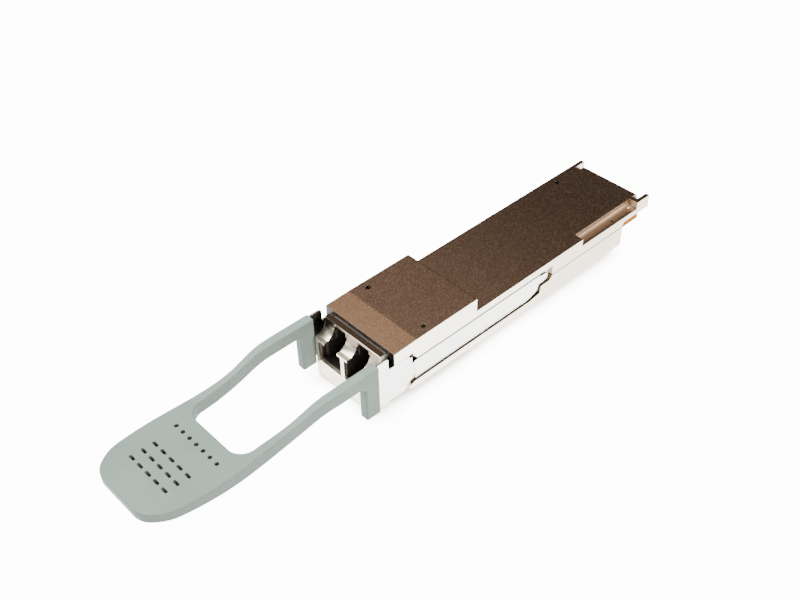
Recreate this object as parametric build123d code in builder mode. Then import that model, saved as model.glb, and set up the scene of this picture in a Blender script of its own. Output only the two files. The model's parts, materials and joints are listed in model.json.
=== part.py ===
from build123d import *
import os

os.makedirs("parts", exist_ok=True)

# A pluggable optical transceiver with two LC fibre ports, in millimetres.
# X runs across it, -Y is the front with the fibre ports and the pull tab,
# +Y is the rear with the card edge, and Z = 0 is its lowest face.

# ---------------------------------------------------------------- driving sizes
body_width = 18.35
cage_height = 8.5  # of the part that slides into the cage
front_rise = 2.95  # front block above the deck
front_drop = 2.1  # front block below the cage part
tab_reach = 50.5  # from the front block's upper front edge to the tab's tip
body_reach = 73.0  # from the same edge to the tips of the rear ears
lc_pitch = 6.25  # between the two fibre axes
ferrule_diameter = 1.25
latch_travel = 2.5  # how far the slider is pulled to release the module

# ---------------------------------------------------------------- stations along Y
front_y = (tab_reach - body_reach) / 2
tab_tip_y = front_y - tab_reach
rear_y = front_y + body_reach
nose_y = front_y - 4.4
block_rear_y = front_y + 20.8
deck_rear_y = rear_y - 1.3
rail_front_y = front_y + 3.9
joggle_y = front_y + 4.3
arm_y = joggle_y + 1.0
pocket_rear_y = front_y + 42.4
bottom_rear_y = front_y + 64.7
card_front_y = front_y + 20.0
wide_card_y = front_y + 60.0
card_rear_y = front_y + 71.7
housing_step_y = front_y + 0.3
housing_rear_y = front_y + 6.2

# ---------------------------------------------------------------- heights
cage_z = front_drop
deck_z = cage_z + cage_height
block_z = deck_z + front_rise
seam_z = 6.8
card_z = 5.2
card_thickness = 1.0
card_top_z = card_z + card_thickness
housing_floor_z = 2.3
floor_z = cage_z + 1.1
roof_z = deck_z - 1.0
block_roof_z = block_z - 0.7
board_roof_z = 8.2
axis_z = 6.7
rail_z = 3.6
plate_foot_z = 3.2
joggle_foot_z = 5.0
channel_z = 9.1
plate_top_z = 10.9
nose_top_z = 12.85

# ---------------------------------------------------------------- widths, from the middle
half_width = body_width / 2
recess_x = 8.35  # shell wall behind the slider
nose_x = 7.5
housing_x = 7.4
optics_cavity_x = 7.1
cavity_x = 7.5
low_cavity_x = 6.2
card_x = 7.4
wide_card_x = 8.21
wide_cavity_x = 8.3
port_x = lc_pitch / 2

steel = 0.4  # slider sheet
gap = 0.1  # between pieces that slide
through = 1.0  # extra length of a cut past a face
overlap = 0.1  # how far a feature runs into the body it is fused to
SIDES = {"left": -1, "right": 1}


def save(builder, name):
    """Label a finished piece and write it as its own STEP file."""
    builder.part.label = name
    export_step(builder.part, f"parts/{name}.step")


def block(x0, x1, y0, y1, z0, z1, mode=Mode.ADD):
    """A box between two corners, in the active part."""
    with Locations(((x0 + x1) / 2, (y0 + y1) / 2, (z0 + z1) / 2)):
        Box(abs(x1 - x0), y1 - y0, z1 - z0, mode=mode)


def rod(radius, x, z, y0, y1, mode=Mode.ADD):
    """A cylinder along Y, in the active part."""
    with Locations(Location((x, (y0 + y1) / 2, z), (90, 0, 0))):
        Cylinder(radius, y1 - y0, mode=mode)


def post(radius, x, y, z0, z1, mode=Mode.ADD):
    """A cylinder along Z, in the active part."""
    with Locations((x, y, (z0 + z1) / 2)):
        Cylinder(radius, z1 - z0, mode=mode)


# ---------------------------------------------------------------- screws that close the shells
screw_x = 5.0
screw_ys = (front_y + 28, front_y + 57)
screw_places = [(side * screw_x, y) for y in screw_ys for side in SIDES.values()]
screw_radius = 0.8
screw_head_radius = 1.45
screw_head_height = 0.9
screw_seat_z = cage_z + 1.2
screw_head_z = screw_seat_z - screw_head_height
screw_tip_z = 8.4
drive_length = 1.7
drive_width = 0.4
drive_depth = 0.45
boss_radius = 2.1
upper_boss_radius = 1.7

with BuildPart() as shell_screws:
    for x, y in screw_places:
        post(screw_head_radius, x, y, screw_head_z, screw_seat_z)
        post(screw_radius, x, y, screw_seat_z, screw_tip_z)
    with BuildSketch(Plane.XY.offset(screw_head_z)):
        with Locations(*screw_places):
            Rectangle(drive_length, drive_width)
            Rectangle(drive_width, drive_length)
    extrude(amount=drive_depth, mode=Mode.SUBTRACT)
save(shell_screws, "shell_screws")

# ---------------------------------------------------------------- springs and their pockets
spring_x = 7.55
spring_z = 4.1
spring_y0 = front_y + 14.0
spring_y1 = front_y + 23.9
spring_radius = 0.58
spring_wire = 0.13
spring_coils = 8
spring_end_gap = 0.02
pocket_half = 0.8
pocket_end_gap = 0.3
lug_thickness = 0.4
lug_x = 7.0
lug_top_z = 4.6

# ---------------------------------------------------------------- slider's cross strap and its slots
strap_y0 = front_y + 6.6
strap_y1 = front_y + 9.2
strap_z = 0.9
leg_x = 8.3
leg_top_z = 4.1
strap_slot_y0 = strap_y0 - latch_travel - 0.2
strap_slot_y1 = strap_y1 + 0.2
leg_slot_z = leg_top_z + 0.2
strap_groove_z = strap_z + steel + 0.3

# ---------------------------------------------------------------- gaskets in the seam
gasket_x = 8.75
gasket_width = 0.36
gasket_height = 0.29
gasket_y0 = front_y + 43.6
gasket_y1 = front_y + 62.9
groove_width = 0.46
groove_depth = 0.3
seam_line = 0.14
seam_line_depth = 0.3

# ---------------------------------------------------------------- bottom shell
block_bottom_rear_y = front_y + 20.5
block_ramp_y = front_y + 22.0
cage_floor_y = front_y + 22.4
cage_relief = 0.05
rail_corner = 1.2
bottom_chamfer = 0.6
hook_ramp_y = front_y + 36.0
hook_floor_z = 5.7

with BuildPart() as bottom_shell:
    # the narrower block under the front, with its ramp up to the cage part
    with BuildSketch(Plane.YZ):
        with BuildLine():
            Polyline(
                (housing_step_y + gap, 0),
                (block_bottom_rear_y, 0),
                (block_ramp_y, cage_z + overlap),
                (housing_step_y + gap, cage_z + overlap),
                close=True,
            )
        make_face()
    extrude(amount=nose_x, both=True)
    low_edges = bottom_shell.edges().filter_by(Axis.Y).group_by(Axis.Z)[0]
    chamfer(low_edges, bottom_chamfer)
    block(-half_width, half_width, housing_step_y + gap, cage_floor_y, cage_z + cage_relief, seam_z)
    block(-half_width, half_width, cage_floor_y - overlap, bottom_rear_y, cage_z, seam_z)
    for side in SIDES.values():
        # recess for the slider: the front plate's length, the arm's channel and the hook's pocket
        with BuildSketch(Plane.YZ.offset(side * recess_x)):
            with BuildLine():
                Polyline(
                    (housing_step_y, -through),
                    (rail_front_y, -through),
                    (rail_front_y, rail_z - rail_corner),
                )
                RadiusArc(
                    (rail_front_y, rail_z - rail_corner),
                    (rail_front_y + rail_corner, rail_z),
                    rail_corner,
                )
                Polyline(
                    (rail_front_y + rail_corner, rail_z),
                    (hook_ramp_y, rail_z),
                    (hook_ramp_y + 2.9, rail_z + 0.5),
                    (hook_ramp_y + 3.3, hook_floor_z),
                    (pocket_rear_y - 0.8, hook_floor_z),
                    (pocket_rear_y, hook_floor_z + 0.7),
                    (pocket_rear_y, seam_z + through),
                    (housing_step_y, seam_z + through),
                    (housing_step_y, -through),
                )
            make_face()
        extrude(amount=side * through, mode=Mode.SUBTRACT)
    # room for the port housing, the subassemblies, the board and the parts under it
    housing_seat_y = housing_rear_y + pocket_end_gap
    block(-cavity_x, cavity_x, housing_step_y, housing_seat_y, housing_floor_z, seam_z, Mode.SUBTRACT)
    block(-optics_cavity_x, optics_cavity_x, housing_rear_y, card_front_y, floor_z, seam_z, Mode.SUBTRACT)
    block(-low_cavity_x, low_cavity_x, card_front_y, bottom_rear_y - 1, floor_z, seam_z, Mode.SUBTRACT)
    block(-cavity_x, cavity_x, card_front_y - gap, bottom_rear_y + 1, card_z, seam_z, Mode.SUBTRACT)
    block(-wide_cavity_x, wide_cavity_x, wide_card_y, bottom_rear_y + 1, card_z, seam_z, Mode.SUBTRACT)
    # screw bosses, each with its clearance hole and head recess
    for x, y in screw_places:
        post(boss_radius, x, y, floor_z, card_z)
    for x, y in screw_places:
        post(screw_radius + 0.1, x, y, cage_z, card_z, Mode.SUBTRACT)
        post(screw_head_radius + 0.15, x, y, cage_z, screw_seat_z, Mode.SUBTRACT)
    for side in SIDES.values():
        # spring pocket, open towards the slider arm
        block(
            side * (spring_x - pocket_half),
            side * (recess_x + overlap),
            spring_y0,
            spring_y1 + lug_thickness + pocket_end_gap,
            spring_z - pocket_half,
            spring_z + pocket_half,
            Mode.SUBTRACT,
        )
        # slot for the strap's leg, inside the rail
        block(
            side * (leg_x - steel - gap),
            side * (leg_x + gap),
            strap_slot_y0,
            strap_slot_y1,
            -through,
            leg_slot_z,
            Mode.SUBTRACT,
        )
        # groove in the seam for the gasket
        block(
            side * (gasket_x - groove_width / 2),
            side * (gasket_x + groove_width / 2),
            gasket_y0 - gap,
            gasket_y1 + gap,
            seam_z - groove_depth,
            seam_z,
            Mode.SUBTRACT,
        )
        # the open line that shows where the two shells meet
        block(
            side * (half_width - seam_line_depth),
            side * (half_width + through),
            pocket_rear_y - through,
            bottom_rear_y + through,
            seam_z - seam_line,
            seam_z,
            Mode.SUBTRACT,
        )
    # groove across the underside for the slider's strap
    groove_x = leg_x + gap
    block(-groove_x, groove_x, strap_slot_y0, strap_slot_y1, -through, strap_groove_z, Mode.SUBTRACT)
save(bottom_shell, "bottom_shell")

# ---------------------------------------------------------------- top shell
facet_length = 5.5
facet_drop = 0.15
rebate_x = 7.05
rebate_y0 = front_y + 51.4
rebate_y1 = front_y + 69.0
rebate_z = deck_z - 1.65
rebate_hollow = 0.9
rebate_slot_y = front_y + 62.2
rebate_slot_width = 0.4
rebate_slot_depth = 0.4
rebate_hole_radius = 0.45
ear_x = 8.25
ear_foot_z = 7.75
notch_x = 7.0
notch_length = 1.7
notch_depth = 1.1
skin = 0.01  # a cut's start just above the face it opens through
front_cavity_y = front_y + 19.8
heat_boss_x = 5.8
heat_boss_y0 = front_y + 11.0
heat_boss_y1 = front_y + 17.0
heat_boss_z = 10.2
pin_mark_depth = 0.45
pin_mark_radius = 0.5
block_mark_x = 7.35
block_mark_y = front_y + 8.8
deck_mark_x = -7.5
deck_mark_y = front_y + 62.8
rear_chamfer = 0.4

with BuildPart() as top_shell:
    # side view: the raised block with its sloped front facet, the deck and the rear edge
    with BuildSketch(Plane.YZ):
        with BuildLine():
            Polyline(
                (front_y, seam_z),
                (front_y, block_z - facet_drop),
                (front_y + facet_length, block_z),
                (block_rear_y, block_z),
                (block_rear_y, deck_z),
                (rear_y, deck_z),
                (rear_y, ear_foot_z),
                (bottom_rear_y + 0.3, ear_foot_z),
                (bottom_rear_y - 0.3, seam_z),
                close=True,
            )
        make_face()
    extrude(amount=half_width, both=True)
    # the deck's rear edge stands between the ears
    block(-ear_x, ear_x, deck_rear_y, rear_y + 1, seam_z - 1, deck_z + 1, Mode.SUBTRACT)
    for side in SIDES.values():
        # slider recess: under the front plate's top edge, then the arm's channel
        with BuildSketch(Plane.YZ.offset(side * recess_x)):
            with BuildLine():
                Polyline(
                    (front_y - through, seam_z - through),
                    (front_y - through, plate_top_z),
                    (joggle_y + 0.25, plate_top_z),
                    (joggle_y + 0.25, plate_top_z - 0.6),
                    (arm_y + 0.3, channel_z),
                    (pocket_rear_y, channel_z),
                    (pocket_rear_y, seam_z - through),
                    close=True,
                )
            make_face()
        extrude(amount=side * through, mode=Mode.SUBTRACT)
        # sloped notch beside each ear
        with BuildSketch(Plane.YZ.offset(side * notch_x)):
            with BuildLine():
                Polyline(
                    (deck_rear_y - notch_length, deck_z + skin),
                    (deck_rear_y + skin, deck_z - notch_depth),
                    (deck_rear_y + skin, deck_z + skin),
                    close=True,
                )
            make_face()
        extrude(amount=side * (ear_x - notch_x), mode=Mode.SUBTRACT)
    # cavity under the block, its heat boss, and the cavity under the deck
    block(-cavity_x, cavity_x, front_y - 1, front_cavity_y, seam_z - 1, block_roof_z, Mode.SUBTRACT)
    block(-heat_boss_x, heat_boss_x, heat_boss_y0, heat_boss_y1, heat_boss_z, block_roof_z)
    block(-low_cavity_x, low_cavity_x, front_cavity_y - 1, deck_rear_y - 2, seam_z - 1, roof_z, Mode.SUBTRACT)
    block(-cavity_x, cavity_x, front_cavity_y - 1, wide_card_y, seam_z - 1, board_roof_z, Mode.SUBTRACT)
    block(-wide_cavity_x, wide_cavity_x, wide_card_y, rear_y + 1, seam_z - 1, board_roof_z, Mode.SUBTRACT)
    # bosses that the screws run into
    for x, y in screw_places:
        post(upper_boss_radius, x, y, card_top_z, roof_z + overlap)
        post(screw_radius, x, y, card_top_z, screw_tip_z + 0.4, Mode.SUBTRACT)
    # rebate along the right rear edge of the deck, with its hole and slot
    with BuildSketch(Plane.XZ.offset(-rebate_y0)):
        with BuildLine():
            Line((rebate_x, deck_z + through), (rebate_x, rebate_z + rebate_hollow))
            RadiusArc(
                (rebate_x, rebate_z + rebate_hollow),
                (rebate_x + rebate_hollow, rebate_z),
                -rebate_hollow,
            )
            Polyline(
                (rebate_x + rebate_hollow, rebate_z),
                (half_width + through, rebate_z),
                (half_width + through, deck_z + through),
                (rebate_x, deck_z + through),
            )
        make_face()
    extrude(amount=rebate_y0 - rebate_y1, mode=Mode.SUBTRACT)
    post(rebate_hole_radius, rebate_x + 0.6, rebate_y1 - 0.6, rebate_z - 2, deck_z, Mode.SUBTRACT)
    block(
        rebate_x + 0.2,
        rebate_x + 1.3,
        rebate_slot_y - rebate_slot_width / 2,
        rebate_slot_y + rebate_slot_width / 2,
        rebate_z - rebate_slot_depth,
        rebate_z,
        Mode.SUBTRACT,
    )
    # ejector-pin marks on the block and the deck
    for side in SIDES.values():
        post(
            pin_mark_radius,
            side * block_mark_x,
            block_mark_y,
            block_z - pin_mark_depth,
            block_z,
            Mode.SUBTRACT,
        )
    post(pin_mark_radius, deck_mark_x, deck_mark_y, deck_z - pin_mark_depth, deck_z, Mode.SUBTRACT)
    across = top_shell.edges().filter_by(Axis.X)
    rear_edges = across.filter_by_position(Axis.Y, deck_rear_y - skin, deck_rear_y + skin)
    chamfer(rear_edges.group_by(Axis.Z)[-1], rear_chamfer)
save(top_shell, "top_shell")

# ---------------------------------------------------------------- port housing
port_half = 2.65
port_top_z = axis_z + 2.3
port_floor_z = axis_z - 2.3
latch_half = 1.75
ledge_z = 9.5
side_recess_x = 6.55
side_recess_depth = 1.6
latch_roof_z = 12.25
latch_rear_y = front_y + 4.5
housing_top_z = 12.3
port_rear_y = front_y + 5.6
relief_top_y = front_y - 1.7
relief_front_y = nose_y + 0.9
snout_radius = 1.45
nose_corner = 0.25
chin_chamfer = 0.8
tooth_half = 0.22
tooth_length = 1.1
tooth_height = 0.65
catch_half = 0.3
catch_y0 = front_y + 0.2
catch_y1 = front_y + 1.1
catch_z = 8.7
keel_half = 0.2
keel_height = 0.6

with BuildPart() as port_housing:
    block(-nose_x, nose_x, nose_y, housing_step_y, 0, nose_top_z)
    upright_edges = port_housing.edges().filter_by(Axis.Z).group_by(Axis.Y)[0]
    fillet(upright_edges, nose_corner)
    with BuildSketch(Plane.YZ.offset(-nose_x - through)):
        with BuildLine():
            Polyline(
                (nose_y - through, -through),
                (nose_y - through, chin_chamfer + through),
                (nose_y + chin_chamfer + through, -through),
                close=True,
            )
        make_face()
    extrude(amount=2 * (nose_x + through), mode=Mode.SUBTRACT)
    block(-housing_x, housing_x, housing_step_y, housing_rear_y, housing_floor_z + 0.02, housing_top_z)
    block(-nose_x, nose_x, front_y - 0.5, housing_step_y + 0.1, housing_top_z, block_z, Mode.SUBTRACT)
    # finger relief across the upper front, a hollow curve down to the ledge
    with BuildSketch(Plane.YZ.offset(-nose_x - through)):
        with BuildLine():
            Line((nose_y - through, ledge_z), (relief_front_y, ledge_z))
            ThreePointArc(
                (relief_front_y, ledge_z),
                (relief_top_y - 0.25, ledge_z + 1.6),
                (relief_top_y, nose_top_z + skin),
            )
            Polyline(
                (relief_top_y, nose_top_z + skin),
                (nose_y - through, nose_top_z + skin),
                (nose_y - through, ledge_z),
            )
        make_face()
    extrude(amount=2 * (nose_x + through), mode=Mode.SUBTRACT)
    for side in SIDES.values():
        x = side * port_x
        block(x - port_half, x + port_half, nose_y - 1, port_rear_y, port_floor_z, port_top_z, Mode.SUBTRACT)
        # the outer wall is thinner at the mouth
        block(
            side * port_x,
            side * side_recess_x,
            nose_y - through,
            nose_y + side_recess_depth,
            port_floor_z,
            port_top_z,
            Mode.SUBTRACT,
        )
        latch_foot_z = port_top_z - overlap
        block(
            x - latch_half,
            x + latch_half,
            nose_y - through,
            latch_rear_y,
            latch_foot_z,
            latch_roof_z,
            Mode.SUBTRACT,
        )
        # latch teeth: shoulders that the connector's latch clicks behind
        for edge in (-1, 1):
            tooth_x = x + edge * (latch_half - tooth_half + overlap)
            block(
                tooth_x - tooth_half,
                tooth_x + tooth_half,
                relief_top_y - overlap,
                relief_top_y - overlap + tooth_length,
                latch_roof_z - tooth_height,
                latch_roof_z + overlap,
            )
            catch_x = x + edge * (port_half - 0.25)
            block(catch_x - catch_half, catch_x + catch_half, catch_y0, catch_y1, catch_z, port_top_z + overlap)
        # keel that centres the connector, low on the floor
        block(
            x - keel_half,
            x + keel_half,
            front_y + 1.9,
            port_rear_y,
            port_floor_z - overlap,
            port_floor_z + keel_height,
        )
        rod(snout_radius + 0.05, x, axis_z, port_rear_y - 1, housing_rear_y + 1, Mode.SUBTRACT)
save(port_housing, "port_housing")

# ---------------------------------------------------------------- latch slider, one folded sheet
plate_x = half_width - steel
arm_x = recess_x + gap
hook_y = front_y + 39.2
tongue_root_y = front_y - 4.0
tongue_front_y = front_y - 6.0
tongue_z = (4.0, 12.0)
shoulder_y = front_y - 1.4
shoulder_corner = 0.5
plate_peak_z = block_z - 0.1
nub_y = front_y + 2.5
corner_notch = 0.7
arm_top_z = channel_z - 0.8
hook_top_z = 8.0
hook_foot_z = hook_floor_z + 0.5

with BuildPart() as latch_slider:
    for side in SIDES.values():
        # front plate, with its tall leading corner and the curve round the rail's nub
        with BuildSketch(Plane.YZ.offset(side * plate_x)):
            with BuildLine():
                Polyline(
                    (joggle_y, joggle_foot_z),
                    (joggle_y, plate_top_z - gap - corner_notch),
                    (joggle_y - corner_notch, plate_top_z - gap - corner_notch),
                    (joggle_y - corner_notch, plate_top_z - gap),
                    (shoulder_y, plate_top_z - gap),
                    (shoulder_y, plate_peak_z - shoulder_corner),
                )
                RadiusArc(
                    (shoulder_y, plate_peak_z - shoulder_corner),
                    (shoulder_y - shoulder_corner, plate_peak_z),
                    -shoulder_corner,
                )
                Polyline(
                    (shoulder_y - shoulder_corner, plate_peak_z),
                    (tongue_root_y, plate_peak_z),
                    (tongue_root_y, tongue_z[1]),
                    (tongue_front_y, tongue_z[1]),
                    (tongue_front_y, tongue_z[0]),
                    (tongue_root_y, tongue_z[0]),
                    (tongue_root_y, plate_foot_z),
                    (nub_y, plate_foot_z),
                )
                ThreePointArc((nub_y, plate_foot_z), (nub_y + 0.45, 4.3), (joggle_y, joggle_foot_z))
            make_face()
        extrude(amount=side * steel)
        # joggle that steps the sheet in behind the shell's rail
        with BuildSketch(Plane.XY.offset(joggle_foot_z)):
            with BuildLine():
                Polyline(
                    (side * plate_x, joggle_y),
                    (side * half_width, joggle_y),
                    (side * (arm_x + steel), arm_y),
                    (side * arm_x, arm_y),
                    close=True,
                )
            make_face()
        extrude(amount=arm_top_z - joggle_foot_z)
        # arm along the flank, ending in the release hook
        with BuildSketch(Plane.YZ.offset(side * arm_x)):
            with BuildLine():
                Polyline(
                    (arm_y, arm_top_z),
                    (hook_y, arm_top_z),
                    (hook_y, hook_top_z),
                    (hook_y + 1.5, hook_top_z),
                )
                ThreePointArc(
                    (hook_y + 1.5, hook_top_z),
                    (hook_y + 2.15, hook_foot_z + 0.8),
                    (hook_y + 1.6, hook_foot_z + 0.2),
                )
                Polyline(
                    (hook_y + 1.6, hook_foot_z + 0.2),
                    (hook_y + 0.6, hook_foot_z),
                    (hook_y - 0.3, hook_foot_z),
                    (hook_y - 0.8, rail_z + 1.3),
                    (hook_ramp_y - 0.4, rail_z + gap),
                    (arm_y, rail_z + gap),
                    (arm_y, arm_top_z),
                )
            make_face()
        extrude(amount=side * steel)
        # leg and lug folded inwards off the arm
        leg_in_x = side * (leg_x - steel)
        block(leg_in_x, side * (arm_x + overlap), strap_y0, strap_y1, rail_z + gap, leg_top_z)
        block(leg_in_x, side * leg_x, strap_y0, strap_y1, strap_z, leg_top_z)
        lug_y1 = spring_y1 + lug_thickness
        block(side * lug_x, side * (arm_x + overlap), spring_y1, lug_y1, rail_z + gap, lug_top_z)
    block(-leg_x, leg_x, strap_y0, strap_y1, strap_z, strap_z + steel)
save(latch_slider, "latch_slider")

# ---------------------------------------------------------------- return springs
for name, side in SIDES.items():
    with BuildPart() as return_spring:
        end_inset = spring_wire + spring_end_gap
        run = spring_y1 - spring_y0 - 2 * end_inset
        with BuildLine() as coil:
            Helix(
                pitch=run / spring_coils,
                height=run,
                radius=spring_radius,
                center=(side * spring_x, spring_y0 + end_inset, spring_z),
                direction=(0, 1, 0),
            )
        with BuildSketch(Plane(origin=coil.line @ 0, z_dir=coil.line % 0)):
            Circle(spring_wire)
        sweep()
    save(return_spring, f"{name}_return_spring")

# ---------------------------------------------------------------- pull tab
arm_outer_x = 9.75
arm_inner_x = 7.8
waist_x = 9.1
plate_half = 9.7
shoulder_x = 9.25
tip_x = 4.0
tab_root_y = tongue_root_y
upright_front_y = front_y - 7.2
upright_foot_z = 2.4
tab_top_z = block_z - 0.05
bend_y = front_y - 14.5
dip_z = 11.1
tip_top_z = 11.5
arm_depth = 2.8
plate_depth = 2.2
gusset = 0.9
window_rear_y = front_y - 32.4
window_x = 4.6
window_corner = 3.0
window_side_y = window_rear_y + 3.2
tab_rounding = 0.35
grip_slot_y = front_y - 40.4
grip_row_pitch = 2.2
grip_slot_pitch = 2.3
grip_slot_length = 1.5
grip_slot_width = 0.6
vent_y = front_y - 35.6
vent_pitch = 1.9
vent_radius = 0.42

with BuildPart() as pull_tab:
    # side view: the arms' gentle step down from the body to the grip plate
    with BuildSketch(Plane.YZ):
        with BuildLine():
            Line((tab_root_y, tab_top_z), (bend_y, tab_top_z))
            Spline(
                (bend_y, tab_top_z),
                (front_y - 21.0, tab_top_z - 1.3),
                (front_y - 29.0, dip_z),
                (tab_tip_y, tip_top_z),
                tangents=((-1, 0), (-1, 0.02)),
            )
            Line((tab_tip_y, tip_top_z), (tab_tip_y, tip_top_z - plate_depth))
            Spline(
                (tab_tip_y, tip_top_z - plate_depth),
                (front_y - 29.0, dip_z - arm_depth),
                (front_y - 20.4, tab_top_z - 1.3 - arm_depth),
                (bend_y + 0.5, tab_top_z - arm_depth),
                tangents=((1, -0.02), (1, 0)),
            )
            Polyline(
                (bend_y + 0.5, tab_top_z - arm_depth),
                (upright_front_y - gusset, tab_top_z - arm_depth),
                (upright_front_y, tab_top_z - arm_depth - gusset),
                (tab_root_y, tab_top_z - arm_depth - gusset),
                (tab_root_y, tab_top_z),
            )
        make_face()
    extrude(amount=arm_outer_x + through, both=True)
    # plan view: two arms round the finger window, and the rounded grip plate
    with BuildSketch(Plane.XY):
        with BuildLine():
            Line((arm_outer_x, tab_root_y), (arm_outer_x, front_y - 12.0))
            Spline(
                (arm_outer_x, front_y - 12.0),
                (waist_x, front_y - 22.0),
                (plate_half, front_y - 37.5),
                (shoulder_x, front_y - 44.5),
                tangents=((0, -1), (-0.12, -1)),
            )
            Spline(
                (shoulder_x, front_y - 44.5),
                (7.6, front_y - 48.6),
                (tip_x, tab_tip_y),
                tangents=((-0.12, -1), (-1, 0)),
            )
            Polyline(
                (tip_x, tab_tip_y),
                (0, tab_tip_y),
                (0, window_rear_y),
                (window_x, window_rear_y),
            )
            RadiusArc((window_x, window_rear_y), (7.35, window_side_y), -window_corner)
            Spline(
                (7.35, window_side_y),
                (7.55, front_y - 24.0),
                (arm_inner_x, front_y - 14.0),
                tangents=((0.0, 1), (0, 1)),
            )
            Polyline(
                (arm_inner_x, front_y - 14.0),
                (arm_inner_x, tab_root_y),
                (arm_outer_x, tab_root_y),
            )
        make_face()
        mirror(about=Plane.YZ)
    extrude(amount=block_z + through, mode=Mode.INTERSECT)
    # uprights that are moulded over the slider's front plates
    for side in SIDES.values():
        with BuildSketch(Plane.YZ.offset(side * arm_inner_x)):
            with BuildLine():
                Polyline(
                    (tab_root_y, upright_foot_z),
                    (tab_root_y, tab_top_z),
                    (upright_front_y, tab_top_z),
                    (upright_front_y, upright_foot_z),
                    close=True,
                )
            make_face()
        extrude(amount=side * (arm_outer_x - arm_inner_x))
    # every edge rounded, as a soft moulding's are
    fillet(pull_tab.edges(), tab_rounding)
    # slot that each slider tongue is moulded into
    for side in SIDES.values():
        block(
            side * plate_x,
            side * half_width,
            tongue_front_y,
            tab_root_y + through,
            tongue_z[0],
            tongue_z[1],
            Mode.SUBTRACT,
        )
    # plain grip slots and a row of vents through the plate
    with BuildSketch(Plane.XY):
        with Locations((0, grip_slot_y - grip_row_pitch)):
            with GridLocations(grip_slot_pitch, grip_row_pitch, 5, 3):
                SlotOverall(grip_slot_length, grip_slot_width)
        with Locations(*[(vent_pitch * step, vent_y) for step in range(-3, 4)]):
            Circle(vent_radius)
    extrude(amount=block_z + through, mode=Mode.SUBTRACT)
save(pull_tab, "pull_tab")

# ---------------------------------------------------------------- optical subassemblies
barrel_front_y = front_y + 1.7
flange_y = housing_rear_y + 0.1
flange_length = 1.2
sleeve_y0 = barrel_front_y + 0.5
sleeve_length = 4.0  # how deep a connector's ferrule goes in
sleeve_y1 = sleeve_y0 + sleeve_length
stub_y0 = sleeve_y1 + 0.05
stub_y1 = stub_y0 + 2.4
package_y0 = front_y + 10.5
package_y1 = front_y + 17.5
package_half = 2.55
package_corner = 0.4
package_top_z = 9.3
sleeve_radius = 1.0
barrel_bore = sleeve_radius + 0.01
barrel_radius = 1.85
flange_radius = 2.2
mouth_chamfer = 0.2
sleeve_bore = ferrule_diameter / 2 + 0.002
flex_half = 2.0
flex_thickness = 0.14
flex_y = package_y1 + 0.08
flex_z = card_top_z + 0.09
clamp_x = 7.0
clamp_y0 = flange_y + flange_length + 0.05
clamp_y1 = clamp_y0 + 0.9
clamp_top_z = 9.6

for name, side in SIDES.items():
    x = side * port_x
    with BuildPart() as fibre_barrel:
        rod(snout_radius, x, axis_z, barrel_front_y, flange_y)
        rod(flange_radius, x, axis_z, flange_y, flange_y + flange_length)
        rod(barrel_radius, x, axis_z, flange_y + flange_length, package_y0)
        rod(barrel_bore, x, axis_z, barrel_front_y - 1, stub_y1, Mode.SUBTRACT)
        mouth = fibre_barrel.edges().filter_by(GeomType.CIRCLE).sort_by(Axis.Y).group_by(Axis.Y)[0]
        chamfer(mouth, mouth_chamfer)
    save(fibre_barrel, f"{name}_fibre_barrel")

    with BuildPart() as ferrule_sleeve:
        rod(sleeve_radius, x, axis_z, sleeve_y0, sleeve_y1)
        rod(sleeve_bore, x, axis_z, sleeve_y0 - 1, sleeve_y1 + 1, Mode.SUBTRACT)
    save(ferrule_sleeve, f"{name}_ferrule_sleeve")

    with BuildPart() as fibre_stub:
        rod(sleeve_radius, x, axis_z, stub_y0, stub_y1)
    save(fibre_stub, f"{name}_fibre_stub")

    with BuildPart() as laser_package:
        block(x - package_half, x + package_half, package_y0, package_y1, floor_z + 0.1, package_top_z)
        corner_edges = laser_package.edges().filter_by(Axis.Y)
        fillet(corner_edges, package_corner)
    save(laser_package, f"{name}_laser_package")

    # flexible circuit: out of the package, down, and flat onto the board
    with BuildPart() as flex_circuit:
        with BuildSketch(Plane.YZ.offset(x - flex_half)):
            with BuildLine() as route:
                Line((flex_y, 7.4), (flex_y, 7.0))
                Line((flex_y, 7.0), (card_front_y + 0.6, flex_z))
                Line((card_front_y + 0.6, flex_z), (card_front_y + 2.6, flex_z))
            trace(route.line, flex_thickness)
        extrude(amount=2 * flex_half)
    save(flex_circuit, f"{name}_flex_circuit")

with BuildPart() as barrel_clamp:
    block(-clamp_x, clamp_x, clamp_y0, clamp_y1, floor_z + 0.02, clamp_top_z)
    for side in SIDES.values():
        rod(barrel_radius + 0.05, side * port_x, axis_z, clamp_y0 - 1, clamp_y1 + 1, Mode.SUBTRACT)
save(barrel_clamp, "barrel_clamp")

with BuildPart() as optics_thermal_pad:
    pad_x = heat_boss_x - 0.2
    block(-pad_x, pad_x, heat_boss_y0 + 0.2, heat_boss_y1 - 0.2, package_top_z, heat_boss_z)
save(optics_thermal_pad, "optics_thermal_pad")

# ---------------------------------------------------------------- circuit board and what is on it
card_corner = 0.6
contact_count = 19
contact_pitch = 0.8
contact_width = 0.54
contact_length = 2.6
contact_thickness = 0.04
contact_y = card_rear_y - 1.9
chip_y = front_y + 41.0
chip_half = 4.5
chip_height = 1.5
chip_pad_half = 4.2
driver_half = 2.6
driver_y = front_y + 30.8
driver_height = 0.9
controller_half = 3.0
controller_y = front_y + 47.0
controller_height = 0.9
inductor_half = 1.25
inductor_pitch = 3.7
inductor_y = front_y + 50.25
inductor_height = 1.2
inductor_corner = 0.3
capacitor_length = 1.1
capacitor_width = 0.6
capacitor_height = 0.55
capacitor_pitch = 2.0
capacitor_x = 5.6

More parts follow.
